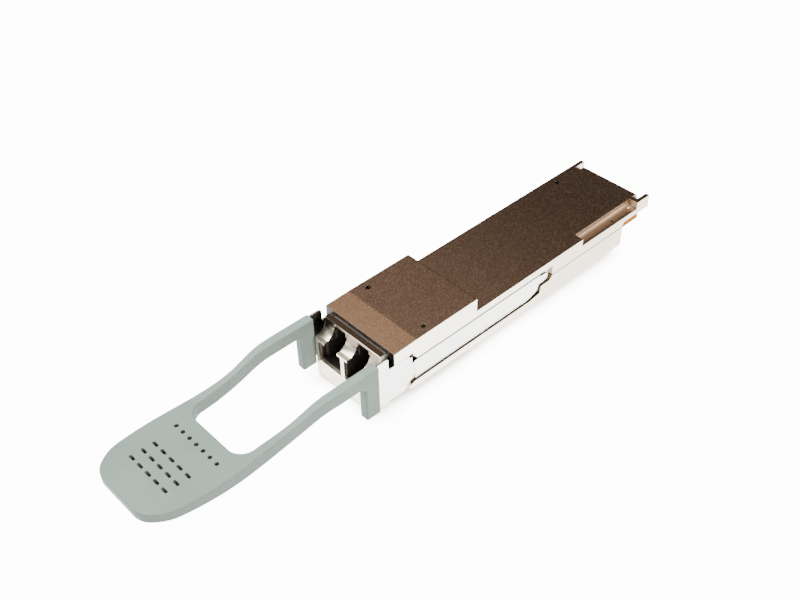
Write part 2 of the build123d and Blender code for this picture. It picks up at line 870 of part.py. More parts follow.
with BuildPart() as circuit_board:
    with BuildSketch(Plane.XY.offset(card_z)):
        with BuildLine():
            Polyline(
                (card_x, card_front_y),
                (card_x, wide_card_y + 0.4),
                (wide_card_x, wide_card_y + 1.0),
                (wide_card_x, card_rear_y - card_corner),
                (wide_card_x - card_corner, card_rear_y),
                (0, card_rear_y),
                (0, card_front_y),
                close=True,
            )
        make_face()
        mirror(about=Plane.YZ)
        with Locations(*screw_places):
            Circle(screw_radius + 0.25, mode=Mode.SUBTRACT)
    extrude(amount=card_thickness)
save(circuit_board, "circuit_board")

contact_xs = [(index - (contact_count - 1) / 2) * contact_pitch for index in range(contact_count)]
for name, z in {"top": card_top_z, "bottom": card_z - contact_thickness}.items():
    with BuildPart() as edge_contacts:
        with BuildSketch(Plane.XY.offset(z)):
            with Locations(*[(x, contact_y) for x in contact_xs]):
                Rectangle(contact_width, contact_length)
        extrude(amount=contact_thickness)
    save(edge_contacts, f"{name}_edge_contacts")

with BuildPart() as gearbox_chip:
    block(-chip_half, chip_half, chip_y - chip_half, chip_y + chip_half, card_top_z, card_top_z + chip_height)
save(gearbox_chip, "gearbox_chip")

with BuildPart() as chip_thermal_pad:
    pad_z = card_top_z + chip_height
    block(-chip_pad_half, chip_pad_half, chip_y - chip_pad_half, chip_y + chip_pad_half, pad_z, roof_z)
save(chip_thermal_pad, "chip_thermal_pad")

with BuildPart() as driver_chip:
    driver_y0 = driver_y - driver_half
    driver_y1 = driver_y + driver_half
    block(-driver_half, driver_half, driver_y0, driver_y1, card_top_z, card_top_z + driver_height)
save(driver_chip, "driver_chip")

with BuildPart() as controller_chip:
    controller_y0 = controller_y - controller_half
    controller_y1 = controller_y + controller_half
    block(-controller_half, controller_half, controller_y0, controller_y1, card_z - controller_height, card_z)
save(controller_chip, "controller_chip")

with BuildPart() as power_inductors:
    with BuildSketch(Plane.XY.offset(card_top_z)):
        with Locations(*[(inductor_pitch * step, inductor_y) for step in (-1, 0, 1)]):
            RectangleRounded(2 * inductor_half, 2 * inductor_half, inductor_corner)
    extrude(amount=inductor_height)
save(power_inductors, "power_inductors")

with BuildPart() as chip_capacitors:
    with BuildSketch(Plane.XY.offset(card_top_z)):
        rows = [(capacitor_pitch * step, chip_y + y) for y in (-15.25, 11.25) for step in range(-2, 3)]
        with Locations(*rows):
            Rectangle(capacitor_width, capacitor_length)
        column_ys = [chip_y + capacitor_pitch * step for step in range(-2, 3)]
        with Locations(*[(side * capacitor_x, y) for side in SIDES.values() for y in column_ys]):
            Rectangle(capacitor_length, capacitor_width)
    extrude(amount=capacitor_height)
save(chip_capacitors, "chip_capacitors")

for name, side in SIDES.items():
    with BuildPart() as seam_gasket:
        gasket_in_x = side * (gasket_x - gasket_width / 2)
        gasket_out_x = side * (gasket_x + gasket_width / 2)
        block(gasket_in_x, gasket_out_x, gasket_y0, gasket_y1, seam_z - gasket_height, seam_z)
    save(seam_gasket, f"{name}_seam_gasket")
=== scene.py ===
import json
import math

import bpy
from mathutils import Matrix, Vector


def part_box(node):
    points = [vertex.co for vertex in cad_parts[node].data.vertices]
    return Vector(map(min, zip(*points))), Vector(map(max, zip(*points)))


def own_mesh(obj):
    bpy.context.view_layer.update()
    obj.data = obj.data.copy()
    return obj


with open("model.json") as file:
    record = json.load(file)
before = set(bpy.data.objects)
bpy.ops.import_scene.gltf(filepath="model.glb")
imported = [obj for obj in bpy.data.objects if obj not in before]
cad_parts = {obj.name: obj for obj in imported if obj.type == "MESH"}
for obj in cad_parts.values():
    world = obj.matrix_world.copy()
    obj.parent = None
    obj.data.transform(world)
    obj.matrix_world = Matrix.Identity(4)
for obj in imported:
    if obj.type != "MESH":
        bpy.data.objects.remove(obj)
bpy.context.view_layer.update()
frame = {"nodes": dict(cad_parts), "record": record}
record = frame["record"]
cad = frame["nodes"]
MM = 0.001

SLOT_OF = {entry["node"]: entry["material_slot"] for entry in record["subparts"]}

# ---------------------------------------------------------------- places that the finishes follow
# X runs across the module, -Y is its front with the ports and the tab, and +Z is up.
top_lo, top_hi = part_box("top_shell")
nose_lo, nose_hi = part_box("port_housing")
FRONT_Y = top_lo.y
DECK_Z = 10.6 * MM
FACET_Y = -5.75 * MM  # rear edge of the sloped band across the front block
BLOCK_REAR_Y = 9.55 * MM
REAR_Y = 60.1 * MM  # the faces behind this are the rear end
DECK_DARKENS_Y = (-2 * MM, top_hi.y - 8 * MM)
WALL_DULLS_Y = (0.0, 45 * MM)
LEDGE_Z = 9.5 * MM  # foot of the finger reliefs
RELIEF_Y = -12.95 * MM  # top of the finger reliefs
PORTS_DARK_Z = 4.1 * MM  # the dark in the ports stays above this and between these sides
PORTS_DARK_X = 6.6 * MM
RELIEFS_BROWN_X = 7.3 * MM
RECESS_X = (8.3 * MM, 8.55 * MM)  # around the shell walls behind the slider
CHANNEL_Z = (3.55 * MM, 10.85 * MM)
HOOK_Y = 27.95 * MM
SUNK_Y = -12.1 * MM  # behind this, the slider's upper edges lie dark in a gap
POCKET_REAR_Y = 31.2 * MM
SEAM_Z = 6.74 * MM
SEAM_HALF = 0.1 * MM
REBATE_Z = 8.95 * MM
REBATE_WALL_X = (7.0 * MM, 7.7 * MM)
REBATE_FLOOR_X = (7.4 * MM, 8.9 * MM)
CARD_MASK_X = (7.5 * MM, 7.6 * MM)  # the solder mask ends between these
PIN_MARKS = ((-7.35 * MM, -2.45 * MM), (7.35 * MM, -2.45 * MM), (-7.5 * MM, 51.55 * MM))
PIN_MARK_RADIUS = 0.5 * MM
INNER_X = 7.9 * MM  # upright faces inside these limits are walls of pits and slots
INNER_RIGHT_X = 6.8 * MM
INNER_FOOT_Z = 8.6 * MM
GRIP_Y = (-32 * MM, -46 * MM)  # the tab darkens between these

AWAY = (-0.707, 0.707, 0.0)  # from the front right to the left rear
# near-black painted shade, laid in gaps, ports, pin holes, crevices and on faces turned from the light
PAINTED_SHADE = (0.012, 0.009, 0.007)


# ---------------------------------------------------------------- small kit for node trees
def scaled(colour, factor):
    return tuple(min(1, factor * channel) for channel in colour)


class Tree:
    """A node tree, with short calls for the nodes used here."""

    def __init__(self, tree):
        self.nodes = tree.nodes
        self.links = tree.links

    def wire(self, value, socket):
        """A number or colour is set on the socket; anything else is linked to it."""
        if isinstance(value, bpy.types.NodeSocket):
            self.links.new(value, socket)
        else:
            socket.default_value = value

    def math(self, operation, *values):
        node = self.nodes.new("ShaderNodeMath")
        node.operation = operation
        for value, socket in zip(values, node.inputs):
            self.wire(value, socket)
        return node.outputs[0]

    def all_of(self, first, *rest):
        for mask in rest:
            first = self.math("MULTIPLY", first, mask)
        return first

    def any_of(self, first, *rest):
        for mask in rest:
            first = self.math("MAXIMUM", first, mask)
        return first

    def span(self, value, low, high, out_low=0.0, out_high=1.0):
        """value from low..high mapped smoothly to out_low..out_high."""
        node = self.nodes.new("ShaderNodeMapRange")
        node.interpolation_type = "SMOOTHSTEP"
        self.wire(value, node.inputs["Value"])
        self.wire(low, node.inputs["From Min"])
        self.wire(high, node.inputs["From Max"])
        self.wire(out_low, node.inputs["To Min"])
        self.wire(out_high, node.inputs["To Max"])
        return node.outputs["Result"]

    def above(self, value, edge, soft=0.1 * MM):
        """1 from edge up, fading to 0 over soft below it."""
        return self.span(value, edge - soft, edge)

    def below(self, value, edge, soft=0.1 * MM):
        """1 from edge down, fading to 0 over soft above it."""
        return self.span(value, edge + soft, edge)

    def axes(self, vector):
        node = self.nodes.new("ShaderNodeSeparateXYZ")
        self.wire(vector, node.inputs[0])
        return node.outputs

    def dot(self, a, b):
        node = self.nodes.new("ShaderNodeVectorMath")
        node.operation = "DOT_PRODUCT"
        self.wire(a, node.inputs[0])
        self.wire(b, node.inputs[1])
        return node.outputs["Value"]

    def occlusion(self, reach):
        node = self.nodes.new("ShaderNodeAmbientOcclusion")
        node.samples = 8
        node.inputs["Distance"].default_value = reach
        return node.outputs["AO"]


class Finish(Tree):
    """One material's node tree."""

    def __init__(self, name):
        self.material = bpy.data.materials.new(name)
        self.material.use_nodes = True
        super().__init__(self.material.node_tree)
        self.shader = self.nodes["Principled BSDF"]
        self.place = self.nodes.new("ShaderNodeTexCoord").outputs["Object"]
        self.geometry = self.nodes.new("ShaderNodeNewGeometry")

    def facing(self):
        """How far the surface faces right, to the rear and up, each from -1 to 1."""
        return self.axes(self.geometry.outputs["True Normal"])

    def noise(self, size, detail=3.0, rough=0.55, stretch=(1, 1, 1)):
        """Noise whose features are about size metres across, drawn out along an axis by stretch."""
        place = self.nodes.new("ShaderNodeMapping")
        self.wire(self.place, place.inputs["Vector"])
        place.inputs["Scale"].default_value = [1 / s for s in stretch]
        node = self.nodes.new("ShaderNodeTexNoise")
        self.wire(place.outputs[0], node.inputs["Vector"])
        node.inputs["Scale"].default_value = 1 / size
        node.inputs["Detail"].default_value = detail
        node.inputs["Roughness"].default_value = rough
        return node.outputs["Fac"]

    def cells(self, size):
        """Distance from the middle of irregular cells about size metres across."""
        node = self.nodes.new("ShaderNodeTexVoronoi")
        self.wire(self.place, node.inputs["Vector"])
        node.inputs["Scale"].default_value = 1 / size
        return node.outputs["Distance"]

    def mix(self, factor, a, b):
        node = self.nodes.new("ShaderNodeMix")
        node.data_type = "RGBA"
        self.wire(factor, node.inputs["Factor"])
        for colour, socket in ((a, node.inputs["A"]), (b, node.inputs["B"])):
            self.wire((*colour, 1.0) if isinstance(colour, tuple) else colour, socket)
        return node.outputs["Result"]

    def rounded_normal(self, radius):
        bevel = self.nodes.new("ShaderNodeBevel")
        bevel.samples = 6
        bevel.inputs["Radius"].default_value = radius
        return bevel.outputs[0]

    def edges(self, radius):
        """1 on edges and corners sharper than a few degrees, within radius of them."""
        return self.span(self.dot(self.rounded_normal(radius), self.geometry.outputs["Normal"]), 0.995, 0.86)

    def lean(self, radius, way):
        """How far an edge rounded to radius tips towards a direction, from -1 to 1."""
        return self.dot(self.rounded_normal(radius), way)

    def open_air(self, reach, low=0.25, high=0.6):
        """1 in the open and 0 down in gaps and corners, looking reach metres around."""
        return self.span(self.occlusion(reach), low, high)

    def near(self, x, y, centre, radius, soft):
        """1 within radius of an upright axis through centre."""
        from_x = self.math("SUBTRACT", x, centre[0])
        from_y = self.math("SUBTRACT", y, centre[1])
        squared = self.math("ADD", self.all_of(from_x, from_x), self.all_of(from_y, from_y))
        return self.below(self.math("SQRT", squared), radius, soft)

    def blend(self, a, b, share):
        """A height made of share of a and the rest of b."""
        return self.math("ADD", self.math("MULTIPLY", a, share), self.math("MULTIPLY", b, 1 - share))

    def bump(self, height, depth):
        node = self.nodes.new("ShaderNodeBump")
        node.inputs["Distance"].default_value = depth
        self.wire(height, node.inputs["Height"])
        return node.outputs["Normal"]

    def finish(self, **sockets):
        for name, value in sockets.items():
            self.wire(value, self.shader.inputs[name.replace("_", " ").title()])
        return self.material


# ---------------------------------------------------------------- materials
REBATE_LIT_TAN = (0.42, 0.28, 0.17)
REBATE_SHADED_TAN = (0.13, 0.085, 0.055)
REBATE_WALL = (0.46, 0.31, 0.20)
FLECK = (0.62, 0.50, 0.36)
NICKEL_WEAR_AND_HIGHLIGHT = (0.86, 0.74, 0.60)
BRIGHT_EDGE = (0.92, 0.85, 0.74)
SHEARED_AND_HIGHLIT_STEEL = (0.92, 0.91, 0.88)
REAR_WALL = (0.60, 0.525, 0.42)
STAINED_WALL = (0.42, 0.36, 0.28)


def cast_face(t, x, y, z, grain, top, band):
    """Upward faces of the casting: a darkening deck, a paler band, a tan rebate with painted shade across its
    floor, and painted shade in the pin holes.
    """
    blotches = t.noise(0.9 * MM, 4.0, 0.6)
    deck = t.mix(t.span(y, *DECK_DARKENS_Y, 0.0, 0.85), top, scaled(top, 0.36))
    face = t.mix(t.below(y, FACET_Y - 0.05 * MM), deck, band)
    face = t.mix(t.span(blotches, 0.5, 0.75, 0.0, 0.16), face, scaled(band, 1.3))
    face = t.mix(t.span(grain, 0.5, 0.7, 0.0, 0.34), face, scaled(band, 1.5))
    face = t.mix(t.span(grain, 0.5, 0.36, 0.0, 0.8), face, scaled(top, 0.15))
    face = t.mix(t.span(t.cells(0.22 * MM), 0.3, 0.1, 0.0, 0.75), face, FLECK)
    # painted shade across the rebate's concave floor: lit tan by its inner wall, shaded dark brown at its
    # outer edge
    tray = t.mix(t.span(x, *REBATE_FLOOR_X), REBATE_LIT_TAN, REBATE_SHADED_TAN)
    face = t.mix(t.below(z, DECK_Z - 0.65 * MM), face, tray)
    # painted shade down in the pin holes
    for centre in PIN_MARKS:
        face = t.mix(t.near(x, y, centre, PIN_MARK_RADIUS, 0.06 * MM), face, PAINTED_SHADE)
    return face


def cast_wall(t, x, y, z, ahead, fine, side):
    """The casting's upright faces: cream at the front, duller to the rear, and tan in the rebate."""
    clouds = t.noise(9 * MM, 3.0, 0.5)
    wall = t.mix(t.span(y, *WALL_DULLS_Y), side, REAR_WALL)
    wall = t.mix(t.span(clouds, 0.35, 0.7, 0.0, 0.14), wall, STAINED_WALL)
    wall = t.mix(t.span(fine, 0.58, 0.75, 0.0, 0.2), wall, scaled(side, 0.6))
    inset = t.all_of(
        t.above(x, REBATE_WALL_X[0]),
        t.below(x, REBATE_WALL_X[1], 0.2 * MM),
        t.above(z, REBATE_Z),
        t.span(ahead, 0.3, 0.1),
    )
    return t.mix(inset, wall, REBATE_WALL)


def cast_shadow(t, x, y, z, ahead, up):
    """1 on faces of the casting that lie in the dark of a gap."""
    flank = t.math("ABSOLUTE", x)
    prow = t.all_of(t.span(ahead, -0.7, -0.9), t.below(y, FRONT_Y + 0.2 * MM))
    behind_slider = t.all_of(
        t.above(flank, RECESS_X[0]),
        t.below(flank, RECESS_X[1], 0.2 * MM),
        t.below(y, HOOK_Y, 0.3 * MM),
        t.above(z, CHANNEL_Z[0], 0.05 * MM),
        t.below(z, CHANNEL_Z[1]),
        t.span(up, 0.7, 0.4),
    )
    off_seam = t.math("ABSOLUTE", t.math("SUBTRACT", z, SEAM_Z))
    seam = t.all_of(
        t.above(y, POCKET_REAR_Y, 0.2 * MM),
        t.above(flank, RECESS_X[0]),
        t.below(off_seam, SEAM_HALF, 0.06 * MM),
    )
    outer_face = t.any_of(
        t.below(y, FRONT_Y + 0.1 * MM),
        t.above(y, REAR_Y),
        t.math("COMPARE", y, BLOCK_REAR_Y, 0.1 * MM),
    )
    pits = t.all_of(
        t.below(flank, INNER_X, 0.05 * MM),
        t.below(x, INNER_RIGHT_X),
        t.above(z, INNER_FOOT_Z),
        t.span(up, 0.5, 0.3),
        t.math("SUBTRACT", 1.0, outer_face),
    )
    return t.any_of(prow, behind_slider, seam, pits)


def cast_nickel(name, top, band, side, roughness):
    """Nickel-plated casting: grainy brown top faces and pale walls, partly their own tones and partly painted
    reflection; painted shade in gaps, crevices and on edges turned away; bright edges, partly plating wear
    and partly painted highlight.
    """
    t = Finish(name)
    x, y, z = t.axes(t.place)
    _, ahead, up = t.facing()
    facing_up = t.span(up, 0.55, 0.8)
    grain = t.noise(0.2 * MM, 5.0, 0.8)
    fine = t.noise(0.09 * MM, 2.0, 0.6)
    lean = t.lean(0.32 * MM, AWAY)
    # edges that round towards the front right: partly plating wear, partly painted highlight
    edge_wear_and_highlight = t.all_of(t.edges(0.14 * MM), t.span(grain, 0.35, 0.6, 0.55, 1.0), t.span(lean, 0.1, -0.1))
    # painted shade on upward faces where their edges round away to the left rear
    shaded = t.all_of(t.span(lean, 0.12, 0.3), t.span(up, 0.3, 0.6), 0.96)
    wall = cast_wall(t, x, y, z, ahead, fine, side)
    # brown top faces and pale walls: partly the casting's own tones, partly painted reflection of a dim sky
    # above and the bright floor beside
    colour = t.mix(facing_up, wall, cast_face(t, x, y, z, grain, top, band))
    colour = t.mix(t.math("MULTIPLY", edge_wear_and_highlight, 0.8), colour, NICKEL_WEAR_AND_HIGHLIGHT)
    colour = t.mix(shaded, colour, PAINTED_SHADE)
    # painted shade on faces in gaps: the prow, behind the slider, along the seam and in pits and slots
    colour = t.mix(cast_shadow(t, x, y, z, ahead, up), colour, PAINTED_SHADE)
    # painted shade in crevices and tight corners
    colour = t.mix(t.open_air(0.7 * MM, 0.34, 0.74), PAINTED_SHADE, colour)
    rough = t.span(fine, 0.3, 0.7, roughness - 0.06, roughness + 0.08)
    rough = t.math("ADD", rough, t.span(facing_up, 0, 1, 0, 0.08))
    rough = t.math("SUBTRACT", rough, t.math("MULTIPLY", edge_wear_and_highlight, 0.12))
    bump = t.bump(t.blend(grain, fine, 0.7), 0.016 * MM)
    return t.finish(base_color=colour, roughness=rough, metallic=1.0, normal=bump)


def nose_nickel(name, base, strip):
    """Bright plated casting: brown on its narrow top strip, partly painted reflection; painted shade in the
    ports, the latch slot, on the steep relief faces and in crevices; bright edges, partly wear and partly
    painted highlight.
    """
    t = Finish(name)
    x, y, z = t.axes(t.place)
    up = t.facing()[2]
    flank = t.math("ABSOLUTE", x)
    fine = t.noise(0.12 * MM, 3.0, 0.6)
    clouds = t.noise(2.2 * MM, 3.0, 0.5)
    streaks = t.noise(0.25 * MM, 3.0, 0.6, (1, 6, 1))
    colour = t.mix(t.span(clouds, 0.3, 0.7), base, scaled(base, 0.8))
    colour = t.mix(t.span(streaks, 0.55, 0.8, 0.0, 0.3), colour, scaled(base, 0.55))
    # brown top strip: partly the plating's own tone, partly painted reflection of the dim sky above
    level = t.all_of(t.span(up, 0.6, 0.85), t.above(z, nose_hi.z - 0.1 * MM, 0.2 * MM))
    colour = t.mix(level, colour, t.mix(t.span(fine, 0.4, 0.65), strip, scaled(strip, 1.6)))
    in_port = t.all_of(
        t.span(y, nose_lo.y + 0.12 * MM, nose_lo.y + 0.9 * MM),
        t.below(z, LEDGE_Z - 0.55 * MM),
    )
    in_latch_slot = t.all_of(
        t.span(y, RELIEF_Y + 0.1 * MM, RELIEF_Y + 0.6 * MM),
        t.below(z, nose_hi.z - 0.7 * MM, 0.2 * MM),
    )
    deep = t.all_of(
        t.any_of(in_port, in_latch_slot),
        t.below(flank, PORTS_DARK_X),
        t.above(z, PORTS_DARK_Z, 0.2 * MM),
    )
    # painted shade deep in the ports and the latch slot
    colour = t.mix(t.math("MULTIPLY", deep, 0.97), colour, PAINTED_SHADE)
    edge_wear_and_highlight = t.all_of(t.edges(0.12 * MM), t.span(deep, 0.4, 0.8, 1.0, 0.0))
    # bright edges: partly wear of the plating, partly painted highlight
    colour = t.mix(t.math("MULTIPLY", edge_wear_and_highlight, 0.75), colour, BRIGHT_EDGE)
    # painted shade on the steep upper faces of the finger reliefs
    steep_relief = t.all_of(
        t.span(z, LEDGE_Z + 0.9 * MM, LEDGE_Z + 1.7 * MM),
        t.below(z, nose_hi.z - 0.3 * MM, 0.18 * MM),
        t.below(flank, RELIEFS_BROWN_X),
        t.span(up, 0.7, 0.5),
    )
    colour = t.mix(t.math("MULTIPLY", steep_relief, 0.85), colour, scaled(strip, 0.6))
    # painted shade in crevices and tight corners
    colour = t.mix(t.open_air(0.6 * MM), PAINTED_SHADE, colour)
    rough = t.math("ADD", t.span(fine, 0.3, 0.7, 0.22, 0.36), t.math("MULTIPLY", deep, 0.45))
    return t.finish(base_color=colour, roughness=rough, metallic=1.0, normal=t.bump(fine, 0.008 * MM))


def sheet_steel(name, base, roughness):
    """Rolled sheet: fine lines along it, faint stains, bright edges that are partly sheared metal and partly
    painted highlight, and painted shade on inner faces, on sunk upper edges and in crevices.
    """
    t = Finish(name)
    x, y, _ = t.axes(t.place)
    across, _, up = t.facing()
    outward = t.math("MULTIPLY", t.math("SIGN", x), across)
    sunk = t.all_of(t.span(up, 0.4, 0.7), t.above(y, SUNK_Y, 0.2 * MM))
    lines = t.noise(0.05 * MM, 3.0, 0.6, (1, 60, 1))
    stains = t.noise(3.5 * MM, 4.0, 0.6)
    fine = t.noise(0.1 * MM, 2.0, 0.5)
    edge_wear_and_highlight = t.edges(0.1 * MM)
    colour = t.mix(t.span(lines, 0.35, 0.7), base, scaled(base, 0.85))
    colour = t.mix(t.span(stains, 0.55, 0.8, 0.0, 0.35), colour, scaled(base, 0.75))
    # bright edges: partly sheared metal, partly painted highlight
    colour = t.mix(t.math("MULTIPLY", edge_wear_and_highlight, 0.6), colour, SHEARED_AND_HIGHLIT_STEEL)
    # painted shade on the faces turned towards the module's middle
    colour = t.mix(t.span(outward, -0.5, -0.8, 0.0, 0.97), colour, scaled(PAINTED_SHADE, 1.4))
    # painted shade on upper edges that lie sunk in a gap
    colour = t.mix(sunk, colour, PAINTED_SHADE)
    # painted shade in crevices and tight corners
    colour = t.mix(t.open_air(0.5 * MM), PAINTED_SHADE, colour)
    rough = t.span(stains, 0.3, 0.7, roughness - 0.05, roughness + 0.07)
    rough = t.math("ADD", rough, t.math("MULTIPLY", edge_wear_and_highlight, -0.1))
    bump = t.bump(t.blend(lines, fine, 0.6), 0.004 * MM)
    return t.finish(base_color=colour, roughness=rough, metallic=1.0, normal=bump)


def elastomer(name, base, dust):
    """Soft matte moulding: leathery grain, faint clouds, painted shade on its ends and sides, darker over the
    grip, painted shade in crevices, and paler edges, partly from rubbing and partly painted highlight.
    """
    t = Finish(name)
    y = t.axes(t.place)[1]
    _, ahead, up = t.facing()
    grain = t.noise(0.22 * MM, 4.0, 0.65)
    cells = t.cells(0.16 * MM)
    clouds = t.noise(7 * MM, 4.0, 0.55)
    specks = t.noise(0.5 * MM, 2.0, 0.4)
    rubbed_and_highlit = t.all_of(t.edges(0.3 * MM), t.span(clouds, 0.3, 0.6, 0.4, 1.0))
    shade = scaled(base, 0.3)
    colour = t.mix(t.span(clouds, 0.35, 0.7), base, scaled(base, 0.9))
    colour = t.mix(t.span(grain, 0.4, 0.7, 0.0, 0.3), colour, scaled(base, 0.82))
    colour = t.mix(t.span(specks, 0.68, 0.76, 0.0, 0.4), colour, dust)
    # paler edges: partly from rubbing, partly painted highlight
    colour = t.mix(t.math("MULTIPLY", rubbed_and_highlit, 0.4), colour, scaled(base, 1.35))
    # painted shade on the faces turned to the front, to the rear and to the sides
    colour = t.mix(t.span(ahead, -0.3, -0.9, 0.0, 0.42), colour, shade)
    colour = t.mix(t.span(ahead, 0.3, 0.9, 0.0, 0.4), colour, shade)
    colour = t.mix(t.span(up, 0.75, 0.2, 0.0, 0.1), colour, shade)
    colour = t.mix(t.span(y, *GRIP_Y, 0.0, 0.3), colour, scaled(base, 0.45))
    # painted shade in crevices and tight corners
    colour = t.mix(t.open_air(0.9 * MM), scaled(base, 0.06), colour)
    rough = t.math("ADD", t.span(grain, 0.3, 0.7, 0.5, 0.64), t.math("MULTIPLY", rubbed_and_highlit, -0.1))
    bump = t.bump(t.blend(grain, cells, 0.6), 0.012 * MM)
    t.shader.inputs["Specular IOR Level"].default_value = 0.3
    return t.finish(base_color=colour, roughness=rough, normal=bump)


def generic(name, base, shade, size, roughness, metallic=0.0, stretch=(1, 1, 1)):
    """A finish for the smaller pieces: two tones in clouds and grain, lighter edges, uneven gloss."""
    t = Finish(name)
    clouds = t.noise(12 * size, 3.0, 0.5)
    grain = t.noise(size, 3.0, 0.6, stretch)
    edge_wear_and_highlight = t.edges(0.08 * MM)
    colour = t.mix(t.span(clouds, 0.3, 0.7), base, shade)
    colour = t.mix(t.span(grain, 0.45, 0.75, 0.0, 0.5), colour, scaled(shade, 0.75))
    # lighter edges: partly wear, partly painted highlight
    colour = t.mix(t.math("MULTIPLY", edge_wear_and_highlight, 0.4), colour, scaled(base, 1.5))
    rough = t.span(grain, 0.3, 0.7, roughness - 0.06, roughness + 0.08)
    rough = t.math("ADD", rough, t.math("MULTIPLY", edge_wear_and_highlight, -0.06))
    bump = t.bump(grain, 0.006 * MM)
    return t.finish(base_color=colour, roughness=rough, metallic=metallic, normal=bump)


TRACE_SCALE = 900
PLY_SCALE = 1300


def laminate(name, mask, weave, core):
    """Circuit board: solder mask over faint traces, and layered glass weave on its rim and cut edge."""
    t = Finish(name)
    x = t.axes(t.place)[0]
    level = t.span(t.math("ABSOLUTE", t.facing()[2]), 0.5, 0.8)
    rim = t.span(t.math("ABSOLUTE", x), *CARD_MASK_X)
    brick = t.nodes.new("ShaderNodeTexBrick")
    t.wire(t.place, brick.inputs["Vector"])
    brick.inputs["Scale"].default_value = TRACE_SCALE
    brick.inputs["Mortar Size"].default_value = 0.06
    brick.inputs["Row Height"].default_value = 0.35
    plies = t.nodes.new("ShaderNodeTexWave")
    plies.bands_direction = "Z"
    t.wire(t.place, plies.inputs["Vector"])
    plies.inputs["Scale"].default_value = PLY_SCALE
    plies.inputs["Distortion"].default_value = 1.5
    grain = t.noise(0.1 * MM, 3.0, 0.6)
    edge = t.mix(plies.outputs["Fac"], weave, core)
    edge = t.mix(t.span(grain, 0.45, 0.7, 0.0, 0.5), edge, scaled(core, 0.6))
    traced = t.mix(t.span(brick.outputs["Fac"], 0.2, 0.8, 0.0, 0.5), mask, scaled(mask, 1.5))
    colour = t.mix(t.all_of(level, t.math("SUBTRACT", 1.0, rim)), edge, traced)
    rough = t.span(grain, 0.3, 0.7, 0.55, 0.75)
    t.shader.inputs["Specular IOR Level"].default_value = 0.1
    bump = t.bump(t.math("ADD", brick.outputs["Fac"], grain), 0.008 * MM)
    return t.finish(base_color=colour, roughness=rough, normal=bump)


FLOOR_ALBEDO = (0.42, 0.42, 0.43, 1)
FLOOR_GLOW = (1.0, 0.985, 0.955, 1)
FLOOR_SEEN = 13.0  # strength to the lens, to diffuse rays and to reflections
FLOOR_BOUNCE = 0.12
FLOOR_MIRRORED = 5.6
FLOOR_SHADE = 0.05  # of that strength, right under the object
SHADE_REACH = 6 * MM


def stage_white(name):
    """Pale floor that stays nearly white to the lens, with a soft shade where something is close to it."""
    t = Finish(name)
    # painted shadow: the floor's glow to the lens drops where something is close above it
    shade = t.span(t.occlusion(SHADE_REACH), 0.2, 0.8, FLOOR_SHADE * FLOOR_SEEN, FLOOR_SEEN)
    path = t.nodes.new("ShaderNodeLightPath").outputs
    glow = t.math("MULTIPLY_ADD", path["Is Glossy Ray"], FLOOR_MIRRORED, FLOOR_BOUNCE)
    glow = t.math("MULTIPLY_ADD", path["Is Camera Ray"], shade, glow)
    t.shader.inputs["Specular IOR Level"].default_value = 0.1
    return t.finish(
        base_color=FLOOR_ALBEDO, roughness=0.9, emission_color=FLOOR_GLOW, emission_strength=glow
    )


FINISHES = {
    "nickel_plating": cast_nickel(
        "nickel_plating", (0.175, 0.105, 0.070), (0.32, 0.185, 0.108), (0.90, 0.835, 0.72), 0.36
    ),
    "bright_nickel": nose_nickel("bright_nickel", (0.80, 0.71, 0.58), (0.12, 0.080, 0.052)),
    "spring_steel": sheet_steel("spring_steel", (0.80, 0.80, 0.785), 0.28),
    "spring_wire": generic("spring_wire", (0.6, 0.6, 0.6), (0.4, 0.4, 0.4), 0.05 * MM, 0.3, 1.0),
    "grey_elastomer": elastomer("grey_elastomer", (0.225, 0.290, 0.256), (0.40, 0.45, 0.42)),
    "barrel_steel": generic("barrel_steel", (0.62, 0.62, 0.63), (0.42, 0.42, 0.43), 0.05 * MM, 0.3, 1.0),
    "zirconia": generic("zirconia", (0.86, 0.85, 0.81), (0.74, 0.73, 0.69), 0.1 * MM, 0.16),
    "package_metal": generic("package_metal", (0.78, 0.62, 0.34), (0.6, 0.47, 0.25), 0.08 * MM, 0.3, 1.0),
    "polyimide": generic("polyimide", (0.50, 0.20, 0.03), (0.38, 0.14, 0.02), 0.15 * MM, 0.28),
    "board_laminate": laminate("board_laminate", (0.10, 0.16, 0.05), (0.62, 0.22, 0.01), (0.45, 0.13, 0.004)),
    "contact_gold": generic(
        "contact_gold", (0.86, 0.58, 0.20), (0.7, 0.45, 0.14), 0.06 * MM, 0.25, 1.0, (1, 12, 1)
    ),
    "chip_moulding": generic("chip_moulding", (0.030, 0.030, 0.033), (0.018, 0.018, 0.02), 0.08 * MM, 0.55),
    "ferrite": generic("ferrite", (0.09, 0.09, 0.095), (0.05, 0.05, 0.055), 0.1 * MM, 0.6),
    "ceramic": generic("ceramic", (0.42, 0.26, 0.13), (0.3, 0.18, 0.09), 0.1 * MM, 0.35),
    "gap_filler": generic("gap_filler", (0.26, 0.34, 0.45), (0.2, 0.27, 0.36), 0.2 * MM, 0.75),
    "conductive_rubber": generic(
        "conductive_rubber", (0.12, 0.12, 0.125), (0.07, 0.07, 0.075), 0.12 * MM, 0.7
    ),
    "screw_steel": generic("screw_steel", (0.55, 0.54, 0.5), (0.36, 0.35, 0.33), 0.06 * MM, 0.33, 1.0),
}

# ---------------------------------------------------------------- the CAD pieces' finish and rounded edges
EDGE_WIDTH = {
    "top_shell": 0.11 * MM,
    "bottom_shell": 0.11 * MM,
    "port_housing": 0.09 * MM,
    "latch_slider": 0.06 * MM,
    "circuit_board": 0.04 * MM,
}
WELD_DISTANCE = 0.0005 * MM
SHARPEST_SMOOTH = math.radians(32)

